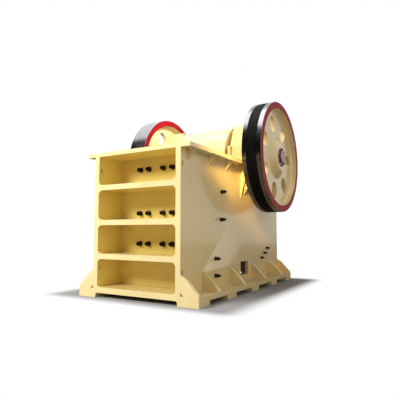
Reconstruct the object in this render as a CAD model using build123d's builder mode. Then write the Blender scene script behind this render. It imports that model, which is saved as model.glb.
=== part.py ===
# Single-toggle jaw crusher with a 1200 x 1500 mm class feed opening, millimetres, +Z up.
# The front of the frame faces -Y. The origin is on the floor, midway along and across the frame.
from build123d import *
from math import atan2, cos, degrees, radians, sin
import os

os.makedirs("parts", exist_ok=True)

# Frame
frame_behind_shaft = 1419
frame_width = 1732
frame_height = 2400
wall_thickness = 88
feet_height = 75
weld_gap = 0.3
cut_overrun = 20

# Top flange round the feed end
top_flange_thickness = 65
top_flange_overhang = 169
top_gusset_thickness = 35
top_gusset_height = 170
top_gusset_setback = 196
top_gusset_pitch = 636
top_gusset_count = 3
top_gusset_snipe = 48

# Base flange along each side, with its feet and gussets
base_flange_thickness = 71
base_overhang = 314
foot_length = 320
foot_inset = 53
outer_foot_pitch = 905
base_gusset_thickness = 40
base_gusset_height = 304
base_gusset_knee_reach = 109
base_gusset_knee_height = 238
base_gusset_nose = 18
base_gusset_snipe = 56
base_gusset_shift = 35
front_foot_thickness = 60
anchor_hole_radius = 28
anchor_hole_reach = 165

# Front of the frame: compartments between ribs
compartment_depth = 573
front_wall_thickness = 90
rib_thickness = 87
lower_rib_height = 627
middle_rib_height = 1184
upper_rib_height = 1765
rib_corner = 45
rib_corner_depth = 80
rib_snipe = 50
bottom_plate_thickness = 93
bottom_corner = 30

# Side walls
window_length = 346
window_height = 250
window_setback = 2071
window_sill = 258
window_corner = 18
collar_margin = 50
collar_depth = 52
slot_setback = 58
slot_length = 75
slot_width = 35
upper_slot_drop = 234
lower_slot_height = 485
rear_edge_height = 1700
seat_run_out = 770

# Shaft and wheels
shaft_behind_jaw = 673
shaft_rise = 144
wheel_radius = 1084
wheel_width = 371
wheel_clearance = 29
rim_thickness = 127
web_thickness = 100
web_recess = 110
hub_root_radius = 420
hub_nose_radius = 262
hub_back_radius = 330
hub_nose_chamfer = 18
web_chamfer = 26
rim_chamfer = 5
web_hole_count = 7
web_hole_circle = 670
web_hole_radius = 132
web_hole_stretch = 60
web_hole_phase = 104
groove_count = 8
groove_pitch = 25.5
groove_depth = 22
groove_floor = 7
groove_edge_band = 78
journal_radius = 190
eccentric_radius = 230
eccentric_throw = 30
wheel_seat_radius = 165
shaft_tip_radius = 122
shaft_tip_reach = 8
shaft_tip_chamfer = 6
locking_ring_radius = 188
locking_ring_width = 27
seat_clearance = 0.2
running_clearance = 0.05
moving_clearance = 8

# Bearing housings
housing_side_gap = 30
housing_width = 420
housing_foot_half = 640
housing_foot_height = 350
housing_foot_step = 35
housing_shoulder_half = 440
housing_shoulder_rise = 590
housing_top_half = 300
housing_rise = 690
housing_chamfer = 60
housing_slot_inset = 84
housing_slot_width = 28
housing_slot_length = 158
housing_slot_depth = 50
housing_slot_rise = 165
cover_radius = 400
cover_thickness = 38
cover_chamfer = 8
cover_neck_radius = 270
cover_neck_length = 18
housing_seat_drop = 414
housing_seat_half = 430
seat_plate_thickness = 90
seat_rib_drop = 340
seat_rib_thickness = 45
seat_gusset_half = 562
seat_gusset_drop = 630

# Crushing chamber
jaw_thickness = 140
tooth_pitch = 122
tooth_depth = 48
tooth_tip_share = 0.28
fixed_jaw_tooth_count = 12
feed_gape = 1190
discharge_gap = 230
discharge_height = 300
jaw_joint_height = 1250
jaw_joint_gap = 6
jaw_top_margin = 12
cheek_thickness = 40
cheek_lap = 110
jaw_side_gap = 8

# Moving jaw body
barrel_radius = 560
barrel_half = 590
barrel_bore_gap = 10
jaw_plate_back = 80
pitman_half = 725
pitman_rib_thickness = 70
pitman_inner_rib_reach = 240
toe_length = 860
toe_height = 250

# Guard over the barrel
guard_thickness = 20
guard_gap = 140
guard_front_angle = 186
guard_rear_angle = 35
guard_skirt = 90

# Toggle plate, its seats, beam and rails
toggle_thickness = 130
toggle_half = 520
toggle_waist_depth = 16
toggle_waist_share = 0.62
toggle_seat_relief = 28
beam_slope = 31
beam_depth = 400
beam_height = 380
rail_inset = 826
rail_height = 622
rail_length = 440
rail_depth = 120
rail_thickness = 70
beam_side_gap = 10
seat_block_depth = 90
seat_block_height = 210
shim_count = 3
shim_thickness = 25
shim_margin = 30

# Rear wall and its ribs
rear_wall_inset = 445
rear_wall_thickness = 60
rear_wall_foot = 560
rear_rib_thickness = 50
rear_rib_count = 4
rear_sill_thickness = 110
anchor_nose_rise = 110

# Tension rod and spring
rod_radius = 38
rod_eye_inset = 130
rod_front_height = 205
rod_rear_height = 400
rod_eye_radius = 75
rod_eye_half = 45
rod_pin_radius = 32
rod_pin_head = 12
lug_thickness = 36
lug_radius = 68
lug_gap = 4
spring_radius = 95
spring_wire = 24
spring_pitch = 56
spring_length = 225
spring_washer_thickness = 20
rod_nut_length = 40
rod_hole_gap = 12

# Places worked out from the sizes above
shaft_setback = compartment_depth + front_wall_thickness + jaw_thickness + feed_gape + shaft_behind_jaw
shaft_height = frame_height + shaft_rise
housing_seat_height = shaft_height - housing_seat_drop
frame_length = shaft_setback + frame_behind_shaft
front = -frame_length / 2
rear = frame_length / 2
half_width = frame_width / 2
inner_half = half_width - wall_thickness
flange_bottom = frame_height - top_flange_thickness
base_top = feet_height + base_flange_thickness
flange_reach = half_width + top_flange_overhang
base_reach = half_width + base_overhang
front_wall_back = front + compartment_depth + front_wall_thickness
axis_y = front + shaft_setback
axis_z = shaft_height
housing_inner_reach = barrel_half + housing_side_gap
housing_reach = housing_inner_reach + housing_width
wheel_face = housing_reach + cover_thickness + cover_neck_length + wheel_clearance
wheel_outer = wheel_face + wheel_width
fixed_face = front_wall_back + jaw_thickness
jaw_top = flange_bottom - jaw_top_margin
jaw_run = frame_height - discharge_height
jaw_lean = degrees(atan2(feed_gape - discharge_gap, jaw_run))
chamber_half = inner_half - cheek_thickness
jaw_half = chamber_half - jaw_side_gap
lean = radians(jaw_lean)
jaw_up = Vector(0, sin(lean), cos(lean))
jaw_out = Vector(0, -cos(lean), sin(lean))
moving_foot = Vector(0, fixed_face + discharge_gap, discharge_height)
jaw_back = moving_foot - jaw_out * jaw_thickness
toe_end = jaw_back.Y + toe_length


def save(piece, name):
    """Label a finished piece and write it."""
    piece.label = name
    export_step(piece, f"parts/{name}.step")


def block(x_span, y_span, z_span):
    """A plain plate between three pairs of limits."""
    with BuildPart() as solid:
        with BuildSketch(Plane.XY.offset(z_span[0])):
            with Locations(((x_span[0] + x_span[1]) / 2, (y_span[0] + y_span[1]) / 2)):
                Rectangle(x_span[1] - x_span[0], y_span[1] - y_span[0])
        extrude(amount=z_span[1] - z_span[0])
    return solid.part


def cross_plate(points, x_span):
    """An outline in the YZ plane, made as thick as the X limits say."""
    with BuildPart() as solid:
        with BuildSketch(Plane.YZ.offset(x_span[0])):
            with BuildLine():
                Polyline(*points, close=True)
            make_face()
        extrude(amount=x_span[1] - x_span[0])
    return solid.part


def both_sides(piece, name):
    """Save a piece of the right side, and its mirror image for the left side."""
    save(mirror(piece, about=Plane.YZ), f"{name}_left")
    save(piece, f"{name}_right")


# Side walls
with BuildPart() as side_wall:
    with BuildSketch(Plane.YZ.offset(inner_half)):
        with BuildLine():
            Polyline(
                (front, feet_height),
                (rear, feet_height),
                (rear, rear_edge_height),
                (axis_y + seat_run_out, flange_bottom),
                (axis_y + housing_seat_half, flange_bottom),
                (axis_y + housing_seat_half, housing_seat_height),
                (axis_y - housing_seat_half, housing_seat_height),
                (axis_y - housing_seat_half, flange_bottom),
                (front, flange_bottom),
                close=True,
            )
        make_face()
        slot_heights = (flange_bottom - upper_slot_drop, lower_slot_height)
        with Locations(*[(front + slot_setback, height) for height in slot_heights]):
            SlotOverall(slot_length, slot_width, rotation=90, mode=Mode.SUBTRACT)
    extrude(amount=wall_thickness)
    window_middle = (front + window_setback + window_length / 2, window_sill + window_height / 2)
    with BuildSketch(Plane.YZ.offset(inner_half)):
        with Locations(window_middle):
            Rectangle(window_length + 2 * collar_margin, window_height + 2 * collar_margin)
    extrude(amount=-collar_depth)
    with BuildSketch(Plane.YZ.offset(half_width)):
        with Locations(window_middle):
            RectangleRounded(window_length, window_height, window_corner)
    extrude(amount=-wall_thickness - collar_depth, mode=Mode.SUBTRACT)
both_sides(side_wall.part, "side_wall")

# Top plate over the first compartment, and the flange strips along the walls
snipe_back = front + compartment_depth
with BuildPart() as top_plate:
    with BuildSketch(Plane.XY.offset(flange_bottom)):
        with Locations((0, (front + front_wall_back) / 2)):
            Rectangle(2 * flange_reach, front_wall_back - front)
        for side in (-1, 1):
            with BuildLine():
                Polyline(
                    (side * inner_half, snipe_back),
                    (side * (inner_half - rib_snipe), snipe_back),
                    (side * inner_half, snipe_back - rib_snipe),
                    close=True,
                )
            make_face(mode=Mode.SUBTRACT)
    extrude(amount=top_flange_thickness)
save(top_plate.part, "top_plate")
with BuildPart() as flange_strips:
    with BuildSketch(Plane.XY.offset(flange_bottom)):
        for start, end in (
            (front_wall_back, axis_y - housing_seat_half),
            (axis_y + housing_seat_half, axis_y + seat_run_out),
        ):
            with Locations(((inner_half + flange_reach) / 2, (start + end) / 2)):
                Rectangle(flange_reach - inner_half, end - start)
    extrude(amount=top_flange_thickness)
both_sides(flange_strips.part, "top_flange")


def flange_gusset(drop):
    """Outline of a gusset under the top flange, its inner corner sniped for the weld."""
    return [
        (half_width + top_gusset_snipe, flange_bottom),
        (flange_reach - base_gusset_nose, flange_bottom),
        (half_width, flange_bottom - drop),
        (half_width, flange_bottom - top_gusset_snipe),
    ]


# Gussets under the top flange
with BuildPart() as top_gussets:
    for number in range(top_gusset_count):
        place = front + top_gusset_setback + number * top_gusset_pitch
        with BuildSketch(Plane.XZ.offset(-place - top_gusset_thickness / 2)):
            with BuildLine():
                Polyline(*flange_gusset(top_gusset_height), close=True)
            make_face()
        extrude(amount=top_gusset_thickness)
both_sides(top_gussets.part, "top_gussets")

# Front wall, which carries the fixed jaw
front_wall = block(
    (-inner_half, inner_half), (front + compartment_depth, front_wall_back), (feet_height, flange_bottom)
)
save(front_wall, "front_wall")


def rib_plan(outer, depth):
    """Plan of a rib between the walls, from its outer edge inwards, with its inner corners sniped."""
    inner = outer + depth
    snipe = rib_snipe if depth > 0 else -rib_snipe
    return [
        (-inner_half, outer),
        (inner_half, outer),
        (inner_half, inner - snipe),
        (inner_half - rib_snipe, inner),
        (rib_snipe - inner_half, inner),
        (-inner_half, inner - snipe),
    ]


def rib_corners(low, high, size):
    """Triangles that flare a rib's outer edge into both side walls, above and below it."""
    for side in (-inner_half, inner_half):
        reach = -size if side > 0 else size
        if low is not None:
            yield [(side, low), (side + reach, low), (side, low - size)]
        yield [(side, high), (side + reach, high), (side, high + size)]


def front_rib(bottom, thickness, corners, name):
    """A rib across the front, with small flares against both side walls at its front edge."""
    with BuildPart() as rib:
        with BuildSketch(Plane.XY.offset(bottom)):
            with BuildLine():
                Polyline(*rib_plan(front, compartment_depth), close=True)
            make_face()
        extrude(amount=thickness)
        for corner in corners:
            with BuildSketch(Plane.XZ.offset(-front)):
                with BuildLine():
                    Polyline(*corner, close=True)
                make_face()
            extrude(amount=-rib_corner_depth)
    save(rib.part, name)


for bottom, name in (
    (lower_rib_height, "front_rib_lower"),
    (middle_rib_height, "front_rib_middle"),
    (upper_rib_height, "front_rib_upper"),
):
    front_rib(bottom, rib_thickness, rib_corners(bottom, bottom + rib_thickness, rib_corner), name)
bottom_corners = rib_corners(None, feet_height + bottom_plate_thickness, bottom_corner)
front_rib(feet_height, bottom_plate_thickness, bottom_corners, "bottom_plate")

# Feet and base flanges, with the anchor bolt holes
foot_starts = [
    front,
    front + outer_foot_pitch,
    -foot_length / 2,
    rear - foot_length - outer_foot_pitch,
    rear - foot_length,
]
anchor_places = [(base_reach - anchor_hole_reach, start + foot_length / 2) for start in foot_starts]
with BuildPart() as feet:
    with BuildSketch(Plane.XY):
        for start in foot_starts:
            with Locations(((half_width - foot_inset + base_reach) / 2, start + foot_length / 2)):
                Rectangle(base_overhang + foot_inset, foot_length)
        with Locations(*anchor_places):
            Circle(anchor_hole_radius, mode=Mode.SUBTRACT)
    extrude(amount=feet_height)
    foot_inner = half_width - foot_inset
    throat = foot_inner - inner_half
    for start in foot_starts:
        with BuildSketch(Plane.XZ.offset(-start)):
            with Locations((foot_inner - throat / 2, feet_height - throat / 2)):
                Rectangle(throat, throat)
            with Locations((foot_inner - throat, feet_height - throat)):
                Circle(throat, mode=Mode.SUBTRACT)
        extrude(amount=-foot_length)
both_sides(feet.part, "feet")

with BuildPart() as base_flange:
    with BuildSketch(Plane.XY.offset(feet_height)):
        with Locations(((half_width + base_reach) / 2, 0)):
            Rectangle(base_overhang, frame_length)
        with Locations(*anchor_places):
            Circle(anchor_hole_radius, mode=Mode.SUBTRACT)
    extrude(amount=base_flange_thickness)
both_sides(base_flange.part, "base_flange")


# Webs on the base flange: the front foot plate, the gussets between the feet, and the rear one
base_webs = [(front, front_foot_thickness)]
for start, next_start in zip(foot_starts, foot_starts[1:]):
    middle = (start + foot_length + next_start) / 2 + base_gusset_shift
    base_webs.append((middle - base_gusset_thickness / 2, base_gusset_thickness))
base_webs.append((rear - base_gusset_thickness, base_gusset_thickness))
with BuildPart() as base_gussets:
    for place, thickness in base_webs:
        with BuildSketch(Plane.XZ.offset(-place)):
            with BuildLine():
                Polyline(
                    (half_width + base_gusset_snipe, base_top),
                    (base_reach, base_top),
                    (base_reach, base_top + base_gusset_nose),
                    (half_width + base_gusset_knee_reach, base_top + base_gusset_knee_height),
                    (half_width, base_top + base_gusset_height),
                    (half_width, base_top + base_gusset_snipe),
                    close=True,
                )
            make_face()
        extrude(amount=-thickness)
both_sides(base_gussets.part, "base_gussets")

# Rear wall, its ribs and the sill under it
rear_wall_y = rear - rear_wall_inset
rear_wall = block(
    (-inner_half, inner_half),
    (rear_wall_y, rear_wall_y + rear_wall_thickness),
    (rear_wall_foot, rear_edge_height),
)
save(rear_wall, "rear_wall")
rear_rib_pitch = (rear_edge_height - rear_wall_foot - rear_rib_thickness) / (rear_rib_count - 1)
with BuildPart() as rear_ribs:
    for number in range(rear_rib_count):
        with BuildSketch(Plane.XY.offset(rear_wall_foot + number * rear_rib_pitch)):
            with BuildLine():
                Polyline(*rib_plan(rear, rear_wall_thickness - rear_wall_inset), close=True)
            make_face()
        extrude(amount=rear_rib_thickness)
save(rear_ribs.part, "rear_ribs")

# Tension rod line, from its eye under the moving jaw to the sill at the rear
rod_front = (toe_end - rod_eye_inset, rod_front_height)
rod_slope = degrees(atan2(rod_rear_height - rod_front_height, rear_wall_y - rod_front[0]))
rod_plane = Plane(
    origin=(0, *rod_front),
    x_dir=(1, 0, 0),
    z_dir=(0, cos(radians(rod_slope)), sin(radians(rod_slope))),
)
sill_back = rear_wall_y + rear_sill_thickness
rod_to_sill = (sill_back - rod_front[0]) / cos(radians(rod_slope))
spring_start = rod_to_sill + spring_radius * sin(radians(rod_slope)) / cos(radians(rod_slope)) + weld_gap
with BuildPart() as rear_sill:
    with BuildSketch(Plane.XZ.offset(-rear_wall_y)):
        with Locations((0, (base_top + rear_wall_foot) / 2)):
            Rectangle(2 * inner_half, rear_wall_foot - base_top)
    extrude(amount=-rear_sill_thickness)
    with BuildSketch(rod_plane):
        Circle(rod_radius + rod_hole_gap)
    extrude(amount=rod_to_sill + cut_overrun + spring_radius, mode=Mode.SUBTRACT)
save(rear_sill.part, "rear_sill")

# Toggle beam line: it slides on two slanting rails
slope = radians(beam_slope)
along = Vector(0, cos(slope), sin(slope))
across = Vector(0, -sin(slope), cos(slope))
rail_middle = Vector(0, rear - rail_inset, rail_height)
beam_middle = rail_middle + across * (rail_depth + beam_height) / 2 - along * beam_depth / 4


def slanted(middle, length, depth, x_span):
    """A bar whose section lies along the slope of the rails."""
    half_along = along * length / 2
    half_across = across * depth / 2
    corners = [
        middle - half_along - half_across,
        middle + half_along - half_across,
        middle + half_along + half_across,
        middle - half_along + half_across,
    ]
    return cross_plate([(corner.Y, corner.Z) for corner in corners], x_span)


rail = slanted(rail_middle, rail_length, rail_depth, (inner_half - rail_thickness, inner_half))
both_sides(rail, "guide_rail")

beam_back = beam_middle + along * beam_depth / 2
with BuildPart() as toggle_beam:
    with BuildSketch(Plane.YZ.offset(-inner_half + beam_side_gap)):
        with Locations(Location((beam_middle.Y, beam_middle.Z), beam_slope)):
            Rectangle(beam_depth, beam_height)
    extrude(amount=2 * (inner_half - beam_side_gap))
save(toggle_beam.part, "toggle_beam")

shim_stack = shim_count * shim_thickness
with BuildPart() as shims:
    for number in range(shim_count):
        shim_middle = beam_back + along * (number + 1 / 2) * shim_thickness
        with BuildSketch(Plane.YZ.offset(-inner_half + beam_side_gap + shim_margin)):
            with Locations(Location((shim_middle.Y, shim_middle.Z), beam_slope)):
                Rectangle(shim_thickness, beam_height - shim_margin)
        extrude(amount=2 * (inner_half - beam_side_gap - shim_margin))
save(shims.part, "shim_pack")

# Anchor block between the shims and the rear wall
anchor_face = beam_back + along * shim_stack
anchor_low = anchor_face - across * beam_height / 2
anchor_high = anchor_face + across * beam_height / 2
rear_anchor = cross_plate(
    [
        (anchor_low.Y, anchor_low.Z),
        (anchor_high.Y, anchor_high.Z),
        (anchor_high.Y, anchor_high.Z + anchor_nose_rise),
        (rear_wall_y, anchor_high.Z + anchor_nose_rise),
        (rear_wall_y, anchor_low.Z),
    ],
    (rail_thickness - inner_half, inner_half - rail_thickness),
)
save(rear_anchor, "rear_anchor")

# Jaw plates: corrugated castings, in two heights
tooth_tip = tooth_pitch * tooth_tip_share / 2


def jaw_section(half, first_tip):
    """Outline of a jaw plate across its teeth: a flat back at zero, teeth towards +Y."""
    root = jaw_thickness - tooth_depth
    points = [(half, 0), (-half, 0), (-half, root)]
    centre = first_tip
    flank = tooth_pitch / 2 - tooth_tip
    while centre + tooth_pitch / 2 < half + seat_clearance:
        points.append((centre - flank, root))
        points.append((centre - tooth_tip, jaw_thickness))
        points.append((centre + tooth_tip, jaw_thickness))
        points.append((centre + flank, root))
        centre += tooth_pitch
    points.append((half, root))
    return points


fixed_first_tip = -(fixed_jaw_tooth_count - 1) * tooth_pitch / 2
moving_first_tip = fixed_first_tip + tooth_pitch / 2


def fixed_jaw(bottom, top, name):
    """One height of the fixed jaw, flat against the front wall."""
    plane = Plane(origin=(0, front_wall_back, bottom), x_dir=(1, 0, 0), z_dir=(0, 0, 1))
    with BuildPart() as jaw:
        with BuildSketch(plane):
            with BuildLine():
                Polyline(*jaw_section(jaw_half, fixed_first_tip), close=True)
            make_face()
        extrude(amount=top - bottom)
    save(jaw.part, name)


fixed_jaw(discharge_height, jaw_joint_height, "fixed_jaw_lower")
fixed_jaw(jaw_joint_height + jaw_joint_gap, jaw_top, "fixed_jaw_upper")

# The moving jaw's working face leans back from the discharge to the feed opening
jaw_length = (jaw_top - discharge_height) / cos(lean)
jaw_joint = (jaw_joint_height - discharge_height) / cos(lean)


def moving_jaw(start, end, name):
    """One height of the moving jaw, flat against the moving jaw body."""
    plane = Plane(origin=jaw_back + jaw_up * start, x_dir=(-1, 0, 0), z_dir=jaw_up)
    with BuildPart() as jaw:
        with BuildSketch(plane):
            with BuildLine():
                Polyline(*jaw_section(jaw_half, moving_first_tip), close=True)
            make_face()
        extrude(amount=end - start)
    save(jaw.part, name)


moving_jaw(0, jaw_joint, "moving_jaw_lower")
moving_jaw(jaw_joint + jaw_joint_gap, jaw_length, "moving_jaw_upper")


def face_at(height):
    """Where the moving jaw's working face is at a height."""
    return moving_foot.Y + (height - discharge_height) * sin(lean) / cos(lean)


def cheek(bottom, top, name):
    """A wear plate on a side wall, cut to the lean of the moving jaw."""
    plate = cross_plate(
        [
            (front_wall_back, bottom),
            (face_at(bottom) + cheek_lap, bottom),
            (face_at(top) + cheek_lap, top),
            (front_wall_back, top),
        ],
        (chamber_half, inner_half),
    )
    both_sides(plate, name)


cheek(discharge_height, jaw_joint_height, "cheek_lower")
cheek(jaw_joint_height + jaw_joint_gap, jaw_top, "cheek_upper")

# Moving jaw body: a barrel, a jaw seat plate, ribs and a toe that takes the toggle
seat_low = jaw_back
seat_high = jaw_back + jaw_up * jaw_length
toe_front = seat_low - jaw_out * jaw_plate_back
toe_back = Vector(0, toe_end, rod_front_height + rod_eye_radius + weld_gap)
toe_top = Vector(0, toe_back.Y, toe_back.Z + toe_height)
plate_high = seat_high - jaw_out * jaw_plate_back
bore_radius = eccentric_radius + eccentric_throw + barrel_bore_gap
rib_outline = [
    (seat_low.Y, seat_low.Z),
    (seat_high.Y, seat_high.Z),
    (axis_y, axis_z),
    (axis_y + barrel_radius * sin(lean), axis_z - barrel_radius * cos(lean) / 2),
    (toe_top.Y, toe_top.Z),
    (toe_back.Y, toe_back.Z),
]
toggle_front = Vector(0, toe_back.Y, toe_back.Z + toe_height / 2)
toggle_rear = beam_middle - along * beam_depth / 2
toggle_slope = atan2(toggle_rear.Z - toggle_front.Z, toggle_rear.Y - toggle_front.Y)
with BuildPart() as pitman:
    with BuildSketch(Plane.YZ.offset(-barrel_half)):
        with Locations((axis_y, axis_z)):
            Circle(barrel_radius)
    extrude(amount=2 * barrel_half)
    with BuildSketch(Plane.YZ.offset(-pitman_half)):
        with BuildLine():
            Polyline(
                (seat_low.Y, seat_low.Z),
                (seat_high.Y, seat_high.Z),
                (plate_high.Y, plate_high.Z),
                (toe_front.Y, toe_front.Z),
                close=True,
            )
        make_face()
    extrude(amount=2 * pitman_half)
    for middle in (
        pitman_rib_thickness / 2 - barrel_half,
        -pitman_inner_rib_reach,
        pitman_inner_rib_reach,
        barrel_half - pitman_rib_thickness / 2,
    ):
        with BuildSketch(Plane.YZ.offset(middle - pitman_rib_thickness / 2)):
            with BuildLine():
                Polyline(*rib_outline, close=True)
            make_face()
        extrude(amount=pitman_rib_thickness)
    with BuildSketch(Plane.YZ.offset(-barrel_half)):
        with BuildLine():
            Polyline(
                (toe_top.Y - toe_height, toe_back.Z),
                (toe_top.Y - toe_height, toe_top.Z),
                (toe_top.Y, toe_top.Z),
                (toe_back.Y, toe_back.Z),
                close=True,
            )
        make_face()
    extrude(amount=2 * barrel_half)
    with BuildSketch(Plane.YZ.offset(-barrel_half - cut_overrun)):
        with Locations((axis_y, axis_z)):
            Circle(bore_radius)
    extrude(amount=2 * (barrel_half + cut_overrun), mode=Mode.SUBTRACT)
    with BuildSketch(Plane.YZ.offset(-toggle_half - moving_clearance)):
        with Locations((toggle_front.Y, toggle_front.Z)):
            Rectangle(2 * seat_block_depth, seat_block_height)
    extrude(amount=2 * (toggle_half + moving_clearance), mode=Mode.SUBTRACT)
    for lug_start in (rod_eye_half + lug_gap, -rod_eye_half - lug_gap - lug_thickness):
        with BuildSketch(Plane.YZ.offset(lug_start)):
            with Locations(rod_front):
                Circle(lug_radius)
            with Locations((rod_front[0], (rod_front[1] + toe_back.Z) / 2)):
                Rectangle(2 * lug_radius, toe_back.Z - rod_front[1])
            with Locations(rod_front):
                Circle(rod_pin_radius + seat_clearance, mode=Mode.SUBTRACT)
        extrude(amount=lug_thickness)
save(pitman.part, "pitman")

# Toggle plate with rounded ends, and the two seats that it rolls in
end_radius = toggle_thickness / 2
toggle_reach = Vector(0, cos(toggle_slope), sin(toggle_slope))
front_pivot = toggle_front + toggle_reach * toggle_seat_relief
rear_pivot = toggle_rear - along * seat_block_depth - toggle_reach * toggle_seat_relief
toggle_run = (rear_pivot - front_pivot).length
toggle_middle = (front_pivot + rear_pivot) / 2
toggle_turn = degrees(atan2(rear_pivot.Z - front_pivot.Z, rear_pivot.Y - front_pivot.Y))
with BuildPart() as toggle_plate:
    with BuildSketch(Plane.YZ.offset(-toggle_half)):
        with Locations(Location((toggle_middle.Y, toggle_middle.Z), toggle_turn)):
            SlotCenterToCenter(toggle_run, toggle_thickness)
            with Locations((0, end_radius), (0, -end_radius)):
                Rectangle(toggle_run * toggle_waist_share, 2 * toggle_waist_depth, mode=Mode.SUBTRACT)
    extrude(amount=2 * toggle_half)
save(toggle_plate.part, "toggle_plate")

with BuildPart() as front_seat:
    with BuildSketch(Plane.YZ.offset(-toggle_half)):
        with Locations((toggle_front.Y - seat_block_depth / 2, toggle_front.Z)):
            Rectangle(seat_block_depth, seat_block_height)
        with Locations((front_pivot.Y, front_pivot.Z)):
            Circle(end_radius + weld_gap, mode=Mode.SUBTRACT)
    extrude(amount=2 * toggle_half)
save(front_seat.part, "toggle_seat_front")

seat_middle = toggle_rear - along * seat_block_depth / 2
with BuildPart() as rear_seat:
    with BuildSketch(Plane.YZ.offset(-toggle_half)):
        with Locations(Location((seat_middle.Y, seat_middle.Z), beam_slope)):
            Rectangle(seat_block_depth, seat_block_height)
        with Locations((rear_pivot.Y, rear_pivot.Z)):
            Circle(end_radius + weld_gap, mode=Mode.SUBTRACT)
    extrude(amount=2 * toggle_half)
save(rear_seat.part, "toggle_seat_rear")

# Tension rod with its eye and pin, which the lugs under the toe hold, and the spring behind the sill
pin_half = rod_eye_half + lug_gap + lug_thickness + rod_pin_head
with BuildPart() as tension_rod:
    with BuildSketch(Plane.YZ.offset(-rod_eye_half)):
        with Locations(rod_front):
            Circle(rod_eye_radius)
    extrude(amount=2 * rod_eye_half)
    with BuildSketch(Plane.YZ.offset(-pin_half)):
        with Locations(rod_front):
            Circle(rod_pin_radius)
    extrude(amount=2 * pin_half)
    with BuildSketch(rod_plane):
        Circle(rod_radius)
    extrude(amount=spring_start + 2 * spring_washer_thickness + spring_length + rod_nut_length)
save(tension_rod.part, "tension_rod")

coil_start = spring_start + spring_washer_thickness + spring_wire / 2 + weld_gap
coil_plane = rod_plane.offset(coil_start)
coil_radius = spring_radius - spring_wire / 2
coil_height = spring_length - spring_wire - 2 * weld_gap
with BuildPart() as spring:
    with BuildLine() as coil:
        Helix(spring_pitch, coil_height, coil_radius, coil_plane.origin, coil_plane.z_dir)
    coil_end = coil.line @ 0
    with BuildSketch(Plane(coil_end, x_dir=coil_end - coil_plane.origin, z_dir=coil.line % 0)):
        Rectangle(spring_wire, spring_wire)
    sweep(is_frenet=True)
save(spring.part, "tension_spring")

with BuildPart() as spring_washers:
    for distance in (spring_start, spring_start + spring_washer_thickness + spring_length):
        with BuildSketch(rod_plane.offset(distance)):
            Circle(spring_radius)
            Circle(rod_radius + weld_gap, mode=Mode.SUBTRACT)
        extrude(amount=spring_washer_thickness)
save(spring_washers.part, "spring_washers")

# Guard over the barrel: a rolled sheet with a straight skirt, on two end plates that sit on the barrel
guard_radius = barrel_radius + guard_gap
guard_arc = guard_front_angle - guard_rear_angle
end_plate_inner = barrel_radius + weld_gap


def guard_band(inner_radius):
    """Draw the outline of the guard's arc, from its outer radius down to an inner one."""
    for angle in (guard_front_angle, guard_rear_angle):
        turn = radians(angle)
        Line(
            (axis_y + inner_radius * cos(turn), axis_z + inner_radius * sin(turn)),
            (axis_y + guard_radius * cos(turn), axis_z + guard_radius * sin(turn)),
        )
    CenterArc((axis_y, axis_z), guard_radius, guard_rear_angle, guard_arc)
    CenterArc((axis_y, axis_z), inner_radius, guard_rear_angle, guard_arc)


with BuildPart() as guard:
    with BuildSketch(Plane.YZ.offset(-barrel_half)):
        with BuildLine():
            guard_band(guard_radius - guard_thickness)
        make_face()
        skirt_turn = radians(guard_front_angle)
        outward = Vector(cos(skirt_turn), sin(skirt_turn))
        downward = Vector(-sin(skirt_turn), cos(skirt_turn))
        skirt_top = Vector(axis_y, axis_z) + outward * guard_radius
        with BuildLine():
            Polyline(
                skirt_top,
                skirt_top + downward * guard_skirt,
                skirt_top + downward * guard_skirt - outward * guard_thickness,
                skirt_top - outward * guard_thickness,
                close=True,
            )
        make_face()
    extrude(amount=2 * barrel_half)
    for plate_start in (-barrel_half, barrel_half - guard_thickness):
        with BuildSketch(Plane.YZ.offset(plate_start)):
            with BuildLine():
                guard_band(end_plate_inner)
            make_face()
        extrude(amount=guard_thickness)
save(guard.part, "pitman_guard")

# Bearing housings and their covers
housing_foot_top = frame_height + housing_foot_height
cap_top = axis_z + housing_rise
housing_slot_height = frame_height + housing_slot_rise + housing_slot_length / 2
with BuildPart() as housing:
    with BuildSketch(Plane.YZ.offset(housing_inner_reach)):
        with BuildLine():
            Polyline(
                (axis_y - housing_seat_half, housing_seat_height),
                (axis_y - housing_seat_half, frame_height),
                (axis_y - housing_foot_half, frame_height),
                (axis_y - housing_foot_half, housing_foot_top),
                (axis_y - housing_foot_half + housing_foot_step, housing_foot_top),
                (axis_y - housing_shoulder_half, axis_z + housing_shoulder_rise),
                (axis_y - housing_top_half, cap_top),
                (axis_y + housing_top_half, cap_top),
                (axis_y + housing_shoulder_half, axis_z + housing_shoulder_rise),
                (axis_y + housing_foot_half - housing_foot_step, housing_foot_top),
                (axis_y + housing_foot_half, housing_foot_top),
                (axis_y + housing_foot_half, frame_height),
                (axis_y + housing_seat_half, frame_height),
                (axis_y + housing_seat_half, housing_seat_height),
                close=True,
            )
        make_face()
    extrude(amount=housing_width)
    outline_edges = housing.edges().filter_by(Axis.X, reverse=True)
    cap_edges = outline_edges.filter_by_position(Axis.Z, housing_foot_top + housing_foot_step, cap_top)
    chamfer(cap_edges, housing_chamfer)
    with BuildSketch(Plane.YZ.offset(housing_inner_reach)):
        with Locations((axis_y, axis_z)):
            Circle(journal_radius + running_clearance)
    extrude(amount=housing_width, mode=Mode.SUBTRACT)
    with BuildSketch(Plane.XZ.offset(housing_foot_half - axis_y)):
        with Locations((housing_inner_reach + housing_slot_inset, housing_slot_height)):
            Rectangle(housing_slot_width, housing_slot_length)
    extrude(amount=-housing_slot_depth, mode=Mode.SUBTRACT)
both_sides(housing.part, "bearing_housing")

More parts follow.
